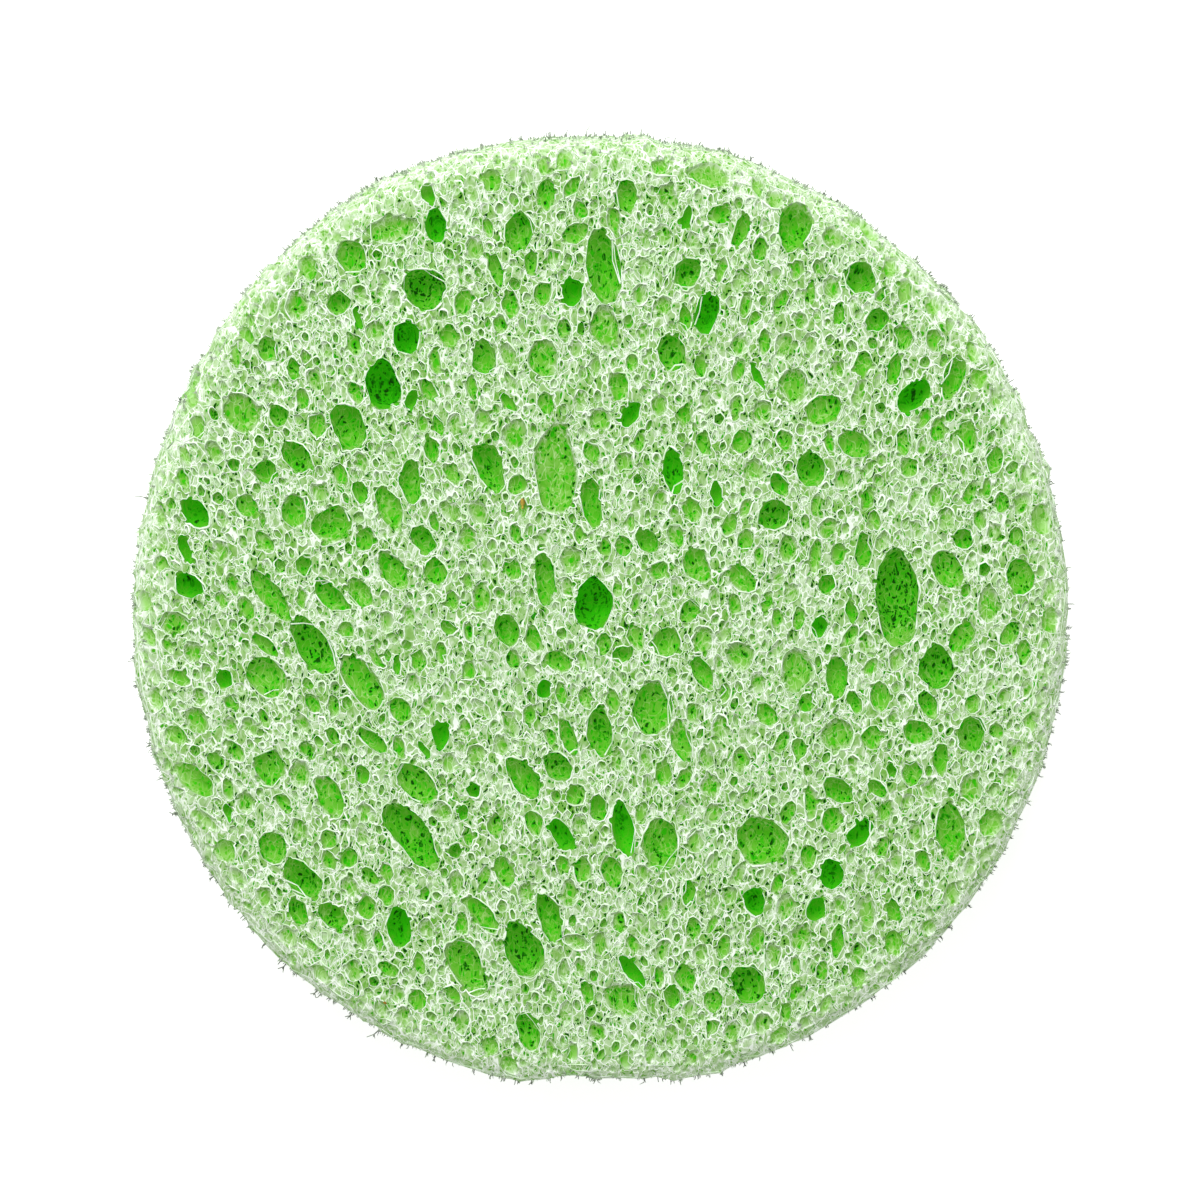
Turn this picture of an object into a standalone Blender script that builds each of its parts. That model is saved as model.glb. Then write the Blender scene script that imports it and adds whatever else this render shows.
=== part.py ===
"""A round cellulose face sponge, dry and expanded: one die-cut disc full of open pores.

Run it with: blender --background --python part.py, or from Blender's text editor.

The disc lies on its back face. +Z is its axis, +Y is the top of its printed-page view, and the
origin is the centre of the back face. Sizes below are in millimetres and Blender's units are
metres.
"""

import math
import random
from collections import namedtuple

import bmesh
import bpy
from mathutils import Matrix, Vector, noise

MM = 0.001

# The blank
WIDTH = 80.0  # across, along X
HEIGHT = 81.0  # from the standing flat to the top, along Y
THICKNESS = 12.0
EDGE_ROUND = 2.4  # radius of the soft edge round both faces
FLAT_LENGTH = 14.4  # the short flat on the rim where the disc was stood on edge
SHOULDER = 0.8  # how far the cut swings out at the upper left
SHOULDER_AT = 122.0  # degrees from +X
SHOULDER_SPREAD = 32.0  # degrees to each side
RIM_STEPS = 72
EDGE_STEPS = 3

# The pores
WALL = 0.4  # thinnest wall left between two pores
EDGE_MARGIN = 0.9  # from a pore's mouth on a face to where the edge starts to round
CORE = 3.0  # solid middle that pores from opposite sides leave between them
RESTING_LAND = 3.2  # radius kept free of pores in the middle of the back face
UNEVEN = 0.07  # how far a pore wanders from an ellipsoid, as a share of its radius
FINE_ABOVE = 4.4  # pores longer than this are drawn with more facets
FINE_FILL = 1.04  # bubbles are drawn this much fuller, so that flat facets leave the mouth its size
COARSE_FILL = 1.15
BACK_LENGTHS = (5.6, 2.3)  # longest and shortest pore on the back face
BACK_COUNT = 92
GAP_LENGTHS = (2.7, 1.8)  # pores set between the listed ones on the front
GAP_COUNT = 42
RIM_LENGTHS = (4.4, 2.2)  # longest and shortest pore round the rim
RIM_COUNT = 34
GRAIN_LEAN = 26.0  # degrees that pores lean at the left edge of the front
GRAIN_SPREAD = 14.0  # degrees of scatter about that lean
SEED = 7

# How deep a pore goes, as a share of its width. A deep pore's centre is sunk by a share of its
# depth, so that it is wider inside than at its mouth, and a shallow one's is raised.
SWELL = 0.09
DISH = 0.30
BOWL = 0.52
CUP = 0.80
WELL = 1.20

Pore = namedtuple("Pore", "x y long wide lean hollow")

# The pores that the front face is known by: centre, both lengths, lean of the long axis from +Y
# towards -X in degrees, and how hollow the pore is.
FRONT_PORES = [
    Pore(25.3, 1.2, 7.8, 3.9, 10, BOWL),
    Pore(-4.0, 12.0, 7.6, 3.8, -8, DISH),
    Pore(-16.2, -19.4, 6.2, 2.9, 35, CUP),
    Pore(14.0, -20.0, 4.6, 4.1, 40, BOWL),
    Pore(-11.7, -30.8, 5.4, 3.1, 30, BOWL),
    Pore(-6.7, -29.4, 4.8, 3.2, 15, CUP),
    Pore(0.3, 29.4, 5.8, 2.3, 5, CUP),
    Pore(-24.6, -3.2, 5.4, 2.6, 25, CUP),
    Pore(4.5, -8.0, 4.5, 3.0, -12, CUP),
    Pore(5.3, -20.1, 4.6, 2.8, -5, BOWL),
    Pore(-0.5, 0.7, 4.2, 2.9, 5, WELL),
    Pore(-28.5, -5.6, 3.9, 2.9, 70, BOWL),
    Pore(-15.0, 27.5, 3.9, 3.1, 45, CUP),
    Pore(-20.5, -6.0, 4.8, 2.4, 32, BOWL),
    Pore(-18.3, 19.6, 4.0, 2.8, 20, WELL),
    Pore(-21.4, 15.8, 3.9, 2.8, 20, BOWL),
    Pore(-9.6, 12.4, 4.4, 2.5, 12, CUP),
    Pore(30.1, -19.2, 4.8, 2.3, 12, CUP),
    Pore(-17.6, 32.4, 4.6, 2.4, -75, DISH),
    Pore(16.9, -5.2, 3.9, 2.7, 15, DISH),
    Pore(16.3, 19.2, 3.6, 3.0, 0, BOWL),
    Pore(21.6, 14.3, 3.6, 3.0, 40, BOWL),
    Pore(9.5, 36.6, 4.0, 2.2, 80, DISH),
    Pore(16.6, 32.9, 4.2, 2.4, -8, CUP),
    Pore(-28.3, 1.5, 5.2, 1.9, 38, CUP),
    Pore(0.4, 24.2, 3.6, 2.4, 0, DISH),
    Pore(-25.4, -22.9, 3.9, 2.5, 45, CUP),
    Pore(-30.6, 17.5, 3.4, 2.8, 20, DISH),
    Pore(-26.0, 8.6, 3.3, 2.7, 10, BOWL),
    Pore(-22.9, 7.5, 3.3, 2.7, -50, BOWL),
    Pore(0.0, -10.1, 4.0, 2.3, 12, CUP),
    Pore(-4.4, -26.4, 4.3, 2.1, 12, WELL),
    Pore(12.5, -32.3, 3.3, 2.7, 60, WELL),
    Pore(28.7, -4.6, 3.2, 2.8, 20, CUP),
    Pore(20.3, -10.6, 3.4, 2.6, 75, DISH),
    Pore(19.2, 17.1, 3.1, 2.5, -50, DISH),
    Pore(-35.0, -14.2, 4.0, 2.2, 48, BOWL),
    Pore(-3.4, -13.2, 2.7, 2.1, 20, CUP),
    Pore(-0.7, 9.3, 4.6, 1.7, 5, WELL),
    Pore(-4.7, 2.9, 4.4, 1.8, 14, WELL),
    Pore(-6.4, -14.3, 3.7, 2.1, 32, CUP),
    Pore(-17.1, -27.2, 3.9, 2.0, 10, WELL),
    Pore(-6.4, -36.0, 3.6, 1.9, 20, CUP),
    Pore(-21.2, 30.2, 3.0, 2.6, 0, BOWL),
    Pore(22.0, 28.6, 2.9, 2.7, -20, CUP),
    Pore(5.8, -2.6, 3.2, 2.4, 40, BOWL),
    Pore(26.6, 18.5, 3.4, 2.2, -50, WELL),
    Pore(2.2, -33.6, 3.0, 2.4, 45, DISH),
    Pore(-27.7, -20.3, 3.0, 2.4, 0, BOWL),
    Pore(-28.1, -13.2, 2.9, 2.5, 0, BOWL),
    Pore(18.1, 12.2, 2.9, 2.5, 20, CUP),
    Pore(-14.0, 33.2, 4.6, 1.6, 10, WELL),
    Pore(6.1, 12.6, 4.2, 1.6, 8, WELL),
    Pore(-17.7, 3.8, 3.6, 2.0, 30, BOWL),
    Pore(-23.3, 1.5, 3.6, 1.9, 42, CUP),
    Pore(-10.1, -25.9, 3.8, 1.8, 40, BOWL),
    Pore(-6.9, 32.2, 3.2, 2.1, -8, BOWL),
    Pore(9.2, 25.4, 3.5, 1.9, -10, WELL),
    Pore(2.1, -18.6, 4.5, 1.5, 12, WELL),
    Pore(-18.1, 8.8, 3.6, 1.9, 18, BOWL),
    Pore(31.9, -10.2, 3.2, 2.1, 0, BOWL),
    Pore(-9.0, 7.2, 3.6, 1.9, 15, DISH),
    Pore(-5.0, 21.3, 3.2, 2.1, 20, DISH),
    Pore(29.5, 4.0, 3.2, 2.1, 35, BOWL),
    Pore(35.4, 2.4, 3.2, 2.6, 20, DISH),
    Pore(-16.4, 23.4, 2.9, 2.3, 0, WELL),
    Pore(14.8, 8.3, 2.8, 2.3, 20, CUP),
    Pore(-23.4, -16.3, 3.8, 1.7, 28, CUP),
    Pore(-7.2, 15.3, 3.2, 1.9, 0, DISH),
    Pore(6.0, 22.0, 3.1, 2.1, 10, CUP),
    Pore(7.3, 28.8, 2.7, 2.3, -30, CUP),
    Pore(-16.1, 11.3, 3.4, 1.8, 8, WELL),
    Pore(8.3, 4.0, 3.1, 2.0, 20, BOWL),
    Pore(20.2, -5.6, 3.6, 1.7, 5, WELL),
    Pore(3.0, -31.0, 3.5, 1.5, 38, WELL),
    Pore(29.9, 19.8, 3.5, 1.7, -18, CUP),
    Pore(7.0, -11.0, 3.6, 1.6, 10, CUP),
    Pore(31.0, 15.0, 3.2, 1.7, 12, BOWL),
    Pore(-9.8, 21.7, 3.1, 1.8, 0, CUP),
    Pore(-34.5, 8.6, 3.0, 1.8, 45, WELL),
    Pore(-20.5, 1.7, 3.1, 1.8, 42, BOWL),
    Pore(-7.9, -1.5, 2.8, 2.0, 20, CUP),
    Pore(30.7, -1.9, 2.7, 1.8, -45, CUP),
    Pore(27.3, -10.4, 2.8, 1.9, 80, BOWL),
    Pore(22.3, -19.0, 2.6, 1.8, -45, WELL),
    Pore(20.5, -15.3, 2.9, 1.8, 45, CUP),
    Pore(20.0, -22.7, 2.8, 1.8, 10, WELL),
    Pore(-0.3, -17.0, 2.8, 1.8, -10, CUP),
    Pore(-8.3, -22.7, 2.8, 1.7, 15, BOWL),
    Pore(22.3, 5.2, 3.2, 1.4, -8, WELL),
    Pore(-34.0, -17.6, 3.4, 1.3, 55, BOWL),
    Pore(-3.3, -19.3, 3.2, 1.5, 30, WELL),
    Pore(22.6, -26.0, 3.2, 1.5, 10, BOWL),
    Pore(1.0, -22.6, 2.9, 1.6, 20, BOWL),
    Pore(-5.8, 29.2, 2.8, 1.5, 0, CUP),
    Pore(-2.7, -10.6, 2.8, 1.5, 18, CUP),
    Pore(8.6, -5.2, 2.9, 1.5, 25, CUP),
    Pore(13.1, -25.2, 2.4, 1.8, 15, WELL),
    Pore(-15.0, 6.2, 2.4, 1.8, 40, CUP),
    Pore(24.9, 21.6, 3.0, 1.2, -12, CUP),
    Pore(11.9, 32.5, 3.0, 1.2, -18, CUP),
    Pore(33.5, 12.8, 2.6, 1.5, 5, CUP),
    Pore(-26.0, -25.9, 2.6, 1.5, 28, CUP),
    Pore(-23.0, -26.4, 2.7, 1.6, 40, CUP),
    Pore(-4.6, 35.4, 2.7, 1.5, -4, CUP),
    Pore(2.2, 35.2, 2.6, 1.5, 0, CUP),
]


def outline_radius(angle):
    """Radius of the disc's cut edge in millimetres, at an angle in radians from +X."""
    half_width = WIDTH / 2
    half_flat = FLAT_LENGTH / 2
    top = HEIGHT / 2
    full_bottom = top / math.sqrt(1 - (half_flat / half_width) ** 2)
    up = math.sin(angle)
    half_height = top if up >= 0 else full_bottom
    radius = 1 / math.hypot(math.cos(angle) / half_width, up / half_height)
    if up < 0:
        radius = min(radius, top / -up)
    off = (math.degrees(angle) - SHOULDER_AT + 180) % 360 - 180
    if abs(off) < SHOULDER_SPREAD:
        radius += SHOULDER * (0.5 + 0.5 * math.cos(math.pi * off / SHOULDER_SPREAD))
    return radius


def make_blank():
    """The die-cut disc before its pores: a drum with rounded edges, drawn out to the outline."""
    bm = bmesh.new()
    bmesh.ops.create_cone(
        bm,
        cap_ends=True,
        segments=RIM_STEPS,
        radius1=WIDTH / 2,
        radius2=WIDTH / 2,
        depth=THICKNESS,
        matrix=Matrix.Translation((0, 0, THICKNESS / 2)),
    )
    corners = [e for e in bm.edges if abs(e.verts[0].co.z - e.verts[1].co.z) < MM]
    bmesh.ops.bevel(
        bm,
        geom=corners,
        offset=EDGE_ROUND,
        segments=EDGE_STEPS,
        profile=0.5,
        affect="EDGES",
        material=-1,
    )
    for vert in bm.verts:
        angle = math.atan2(vert.co.y, vert.co.x)
        reach = outline_radius(angle) / (WIDTH / 2)
        vert.co.xy *= reach
    return finish_mesh(bm, "sponge")


def finish_mesh(bm, name):
    """A bmesh in millimetres becomes a mesh in metres."""
    bmesh.ops.scale(bm, vec=(MM, MM, MM), verts=bm.verts)
    mesh = bpy.data.meshes.new(name)
    bm.to_mesh(mesh)
    bm.free()
    return mesh


def on_ellipse(pore, turn, spare=0.0):
    """A point on the pore's mouth, or that far outside it."""
    along = (pore.long / 2 + spare) * math.cos(turn)
    across = (pore.wide / 2 + spare) * math.sin(turn)
    lean = math.radians(pore.lean)
    x = pore.x - along * math.sin(lean) + across * math.cos(lean)
    y = pore.y + along * math.cos(lean) + across * math.sin(lean)
    return x, y


def inside(pore, x, y):
    """True if a point of the face lies in the pore's mouth."""
    lean = math.radians(pore.lean)
    dx = x - pore.x
    dy = y - pore.y
    along = -dx * math.sin(lean) + dy * math.cos(lean)
    across = dx * math.cos(lean) + dy * math.sin(lean)
    return math.hypot(along / (pore.long / 2), across / (pore.wide / 2)) < 1


def touch(first, second):
    """True if less than a wall is left between two mouths."""
    if math.hypot(first.x - second.x, first.y - second.y) > (first.long + second.long) / 2 + WALL:
        return False
    turns = [math.tau * k / 20 for k in range(20)]
    return (
        any(inside(second, *on_ellipse(first, t, WALL)) for t in turns)
        or any(inside(first, *on_ellipse(second, t, WALL)) for t in turns)
        or inside(second, first.x, first.y)
    )


def fits_face(pore):
    """True if the whole mouth lies on the flat of the face."""
    for k in range(12):
        x, y = on_ellipse(pore, math.tau * k / 12)
        if math.hypot(x, y) > outline_radius(math.atan2(y, x)) - EDGE_ROUND - EDGE_MARGIN:
            return False
    return True


def shrink(pore, share):
    return pore._replace(long=pore.long * share, wide=pore.wide * share)


def settle(pore, placed, allowed):
    """The pore, made smaller in small steps until it clears its neighbours, or None."""
    for share in (1.0, 0.92, 0.84, 0.76):
        smaller = shrink(pore, share)
        if allowed(smaller) and not any(touch(smaller, other) for other in placed):
            return smaller
    return None


def grain(x):
    """Lean of the pores at a place across the disc: the foam rose at a slant on the left."""
    return GRAIN_LEAN * max(-0.35, min(1.0, -x / (WIDTH / 2)))


def scatter(chance, count, lengths, allowed, placed):
    """Adds pores of falling size at random places, each clear of the ones before it."""
    longest, shortest = lengths
    added = 0
    for tries in range(count * 60):
        if added == count:
            break
        place = chance.uniform(0, math.tau)
        reach = math.sqrt(chance.random()) * max(WIDTH, HEIGHT) / 2
        x = reach * math.cos(place)
        y = reach * math.sin(place)
        share = (added / count) ** 0.6
        long = longest + (shortest - longest) * share
        wide = long * chance.uniform(0.5, 0.8)
        lean = grain(x) + chance.gauss(0, GRAIN_SPREAD)
        hollow = chance.choice((DISH, BOWL, BOWL, CUP, CUP, WELL))
        pore = Pore(x, y, long, wide, lean, hollow)
        if allowed(pore) and not any(touch(pore, other) for other in placed):
            placed.append(pore)
            added += 1
    return placed


def front_pores():
    placed = []
    for pore in FRONT_PORES:
        fitted = settle(pore, placed, fits_face)
        if fitted:
            placed.append(fitted)
    return scatter(random.Random(SEED), GAP_COUNT, GAP_LENGTHS, fits_face, placed)


def back_pores():
    def allowed(pore):
        mirrored = pore._replace(x=-pore.x, lean=-pore.lean)
        return math.hypot(pore.x, pore.y) - pore.long / 2 > RESTING_LAND and fits_face(mirrored)

    return scatter(random.Random(SEED + 1), BACK_COUNT, BACK_LENGTHS, allowed, [])


def rim_pores():
    """Pores on the unrolled rim: x runs round it and y up it, from its middle."""
    chance = random.Random(SEED + 2)
    around = math.pi * (WIDTH + HEIGHT) / 2
    half_band = THICKNESS / 2 - EDGE_ROUND
    longest, shortest = RIM_LENGTHS
    step = around / RIM_COUNT
    pores = []
    for k in range(RIM_COUNT):
        long = min(chance.uniform(shortest, longest), step - WALL - 0.3)
        wide = min(long * chance.uniform(0.5, 0.8), 1.7 * half_band)
        y = chance.uniform(-1, 1) * (half_band - wide / 2)
        lean = 90 + chance.gauss(0, GRAIN_SPREAD / 2)
        pores.append(Pore(k * step, y, long, wide, lean, chance.choice((DISH, BOWL))))
    return pores


def add_bubble(bm, pore, seat):
    """One closed bubble whose cut by the surface is the pore's mouth.

    seat is the frame of the surface at the mouth: X across, Y up and Z out of the sponge.
    """
    depth = min(pore.hollow * pore.wide, (THICKNESS - CORE) / 2)
    sunk = depth * (SWELL if pore.hollow > BOWL else -SWELL)
    half_depth = depth - sunk
    mouth_share = math.sqrt(1 - (sunk / half_depth) ** 2)
    large = pore.long > FINE_ABOVE
    fill = FINE_FILL if large else COARSE_FILL
    across = fill * pore.wide / 2 / mouth_share
    along = fill * pore.long / 2 / mouth_share
    made = bmesh.ops.create_icosphere(bm, subdivisions=2 if large else 1, radius=1)
    for vert in made["verts"]:
        drift = noise.noise(vert.co * 1.3 + Vector((pore.x, pore.y, depth)) * 2.1)
        vert.co *= 1 + UNEVEN * drift
    lean = Matrix.Rotation(math.radians(pore.lean), 4, "Z")
    size = Matrix.Diagonal((across, along, half_depth, 1))
    place = seat @ Matrix.Translation((0, 0, -sunk)) @ lean @ size
    bmesh.ops.transform(bm, matrix=place, verts=made["verts"])


def make_cutter(name, pores, seat_of):
    """One hidden object that holds all the bubbles of a face or of the rim."""
    bm = bmesh.new()
    for pore in pores:
        add_bubble(bm, pore, seat_of(pore))
    cutter = bpy.data.objects.new(name, finish_mesh(bm, name))
    bpy.context.scene.collection.objects.link(cutter)
    cutter.hide_render = True
    cutter.display_type = "WIRE"
    return cutter


def front_seat(pore):
    return Matrix.Translation((pore.x, pore.y, THICKNESS))


def back_seat(pore):
    """The back face seen from behind, so that its pores are mirrored in X."""
    return Matrix.Rotation(math.pi, 4, "Y") @ Matrix.Translation((pore.x, pore.y, 0))


def rim_seat(pore):
    around = math.pi * (WIDTH + HEIGHT) / 2
    angle = math.tau * pore.x / around
    radius = outline_radius(angle)
    out = Vector((math.cos(angle), math.sin(angle), 0))
    up = Vector((0, 0, 1))
    across = up.cross(out)
    turn = Matrix((across, up, out)).transposed().to_4x4()
    return Matrix.Translation(out * radius + up * (THICKNESS / 2 + pore.y)) @ turn


def cellulose():
    material = bpy.data.materials.new("green_cellulose")
    material.use_nodes = True
    shader = material.node_tree.nodes["Principled BSDF"]
    shader.inputs["Base Color"].default_value = (0.42, 0.68, 0.27, 1)
    shader.inputs["Roughness"].default_value = 0.95
    shader.inputs["Metallic"].default_value = 0.0
    return material


def clear_scene():
    for old in list(bpy.data.objects):
        bpy.data.objects.remove(old)


def main():
    clear_scene()
    sponge = bpy.data.objects.new("sponge", make_blank())
    bpy.context.scene.collection.objects.link(sponge)
    sponge.data.materials.append(cellulose())
    cutters = [
        make_cutter("front_bubbles", front_pores(), front_seat),
        make_cutter("back_bubbles", back_pores(), back_seat),
        make_cutter("rim_bubbles", rim_pores(), rim_seat),
    ]
    for cutter in cutters:
        cut = sponge.modifiers.new("cut_" + cutter.name, "BOOLEAN")
        cut.operation = "DIFFERENCE"
        cut.solver = "EXACT"
        cut.object = cutter


main()
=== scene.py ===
# %% [markdown]
# A face sponge of dry, expanded cellulose. The wood pulp was foamed, set and sliced, so every
# surface is a cut through bubbles: open pores with pale, torn rims, and a lace of tiny cells
# between them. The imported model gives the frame, and everything here is built inside its box.

# %% Load the frame
import math
import random
from collections import namedtuple

import bmesh
import bpy
from mathutils import Matrix, Vector, noise
from mathutils.kdtree import KDTree


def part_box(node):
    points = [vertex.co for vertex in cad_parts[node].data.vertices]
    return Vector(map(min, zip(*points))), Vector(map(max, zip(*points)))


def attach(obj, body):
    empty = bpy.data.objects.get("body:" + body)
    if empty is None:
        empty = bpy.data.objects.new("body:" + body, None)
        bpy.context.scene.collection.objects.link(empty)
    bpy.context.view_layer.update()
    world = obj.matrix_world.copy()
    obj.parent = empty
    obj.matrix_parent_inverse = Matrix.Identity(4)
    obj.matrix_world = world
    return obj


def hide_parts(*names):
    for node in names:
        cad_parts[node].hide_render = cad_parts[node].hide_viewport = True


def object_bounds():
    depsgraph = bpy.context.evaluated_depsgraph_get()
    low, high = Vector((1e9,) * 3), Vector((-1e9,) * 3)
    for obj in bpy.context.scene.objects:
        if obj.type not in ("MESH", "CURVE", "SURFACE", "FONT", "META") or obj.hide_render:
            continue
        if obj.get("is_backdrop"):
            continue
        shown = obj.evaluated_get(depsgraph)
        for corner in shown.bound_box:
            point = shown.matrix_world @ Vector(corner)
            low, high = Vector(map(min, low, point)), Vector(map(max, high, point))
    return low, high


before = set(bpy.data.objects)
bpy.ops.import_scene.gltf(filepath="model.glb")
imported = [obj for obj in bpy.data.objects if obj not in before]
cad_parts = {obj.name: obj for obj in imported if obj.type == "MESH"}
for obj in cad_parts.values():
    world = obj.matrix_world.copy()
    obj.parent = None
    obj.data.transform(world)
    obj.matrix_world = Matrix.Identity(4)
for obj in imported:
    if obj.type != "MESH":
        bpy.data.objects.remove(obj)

MM = 0.001
NOISE_SEED = 31
noise.seed_set(NOISE_SEED)  # otherwise noise_vector starts from the clock
cad_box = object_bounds()
low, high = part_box("sponge")
WIDTH, HEIGHT, THICKNESS = ((high[k] - low[k]) / MM for k in range(3))
print(f"sponge {WIDTH:.1f} x {HEIGHT:.1f} x {THICKNESS:.1f} mm")

# %% [markdown]
# The blank is the disc as it leaves the cutting die. A drum with a bevelled edge is drawn out to
# the real outline: slightly taller than wide, a little fuller at the upper left, and flat for a
# few millimetres at the foot. A lathe profile would also do, but a drum is one call. Its faces are
# parted into small squares, so that the triangles between the pores stay even.

# %% The outline
EDGE_ROUND = 2.4
FLAT_LENGTH = 14.4
SHOULDER = 0.8
SHOULDER_AT = 122.0
SHOULDER_SPREAD = 32.0


def outline_radius(angle):
    """Radius of the cut edge in millimetres, at an angle in radians from +X."""
    half_width = WIDTH / 2
    top = HEIGHT / 2
    bottom = top / math.sqrt(1 - (FLAT_LENGTH / WIDTH) ** 2)
    up = math.sin(angle)
    half_height = top if up >= 0 else bottom
    radius = 1 / math.hypot(math.cos(angle) / half_width, up / half_height)
    if up < 0:
        radius = min(radius, top / -up)
    off = (math.degrees(angle) - SHOULDER_AT + 180) % 360 - 180
    if abs(off) < SHOULDER_SPREAD:
        radius += SHOULDER * (0.5 + 0.5 * math.cos(math.pi * off / SHOULDER_SPREAD))
    return radius


def edge_gap(x, y):
    """How far a place on a face lies inside the outline."""
    return outline_radius(math.atan2(y, x)) - math.hypot(x, y)


def outwards(place):
    """The level direction away from the disc's axis."""
    return Vector((place.x, place.y, 0)).normalized()


def skin_drop(x, y):
    """How far the rounded edge has fallen below the flat of the face."""
    inset = max(0.0, min(edge_gap(x, y), EDGE_ROUND))
    return EDGE_ROUND - math.sqrt(EDGE_ROUND**2 - (EDGE_ROUND - inset) ** 2)


print(f"the outline reaches {outline_radius(math.pi / 2):.1f} mm up")

# %% The blank
RIM_STEPS = 220
EDGE_STEPS = 5
SQUARE = 4.0
FIRST_CUT = 0.53


def make_blank():
    bm = bmesh.new()
    radius, middle = WIDTH / 2, Matrix.Translation((0, 0, THICKNESS / 2))
    bmesh.ops.create_cone(
        bm, cap_ends=True, segments=RIM_STEPS, radius1=radius, radius2=radius,
        depth=THICKNESS, matrix=middle,
    )
    corners = [e for e in bm.edges if abs(e.verts[0].co.z - e.verts[1].co.z) < MM]
    bmesh.ops.bevel(
        bm, geom=corners, offset=EDGE_ROUND, segments=EDGE_STEPS,
        profile=0.5, affect="EDGES", material=-1,
    )
    for vert in bm.verts:
        vert.co.xy *= outline_radius(math.atan2(vert.co.y, vert.co.x)) / radius
    count = int(max(WIDTH, HEIGHT) / SQUARE)
    for normal in (Vector((1, 0, 0)), Vector((0, 1, 0))):
        for k in range(count):
            place = normal * ((k + FIRST_CUT - count / 2) * SQUARE)
            parts = bm.verts[:] + bm.edges[:] + bm.faces[:]
            bmesh.ops.bisect_plane(bm, geom=parts, dist=MM, plane_co=place, plane_no=normal)
    bmesh.ops.triangulate(bm, faces=bm.faces[:])
    print(f"blank: {len(bm.faces)} triangles")
    return bm


# %% From a bmesh to an object
def new_object(name, data):
    made = bpy.data.objects.new(name, data)
    bpy.context.scene.collection.objects.link(made)
    return made


def as_object(bm, name, unit=MM):
    """A bmesh becomes an object; unit is the length in metres that one of its units stands for."""
    bmesh.ops.scale(bm, vec=(unit, unit, unit), verts=bm.verts)
    mesh = bpy.data.meshes.new(name)
    bm.to_mesh(mesh)
    bm.free()
    return new_object(name, mesh)


blank = as_object(make_blank(), "blank")
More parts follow.
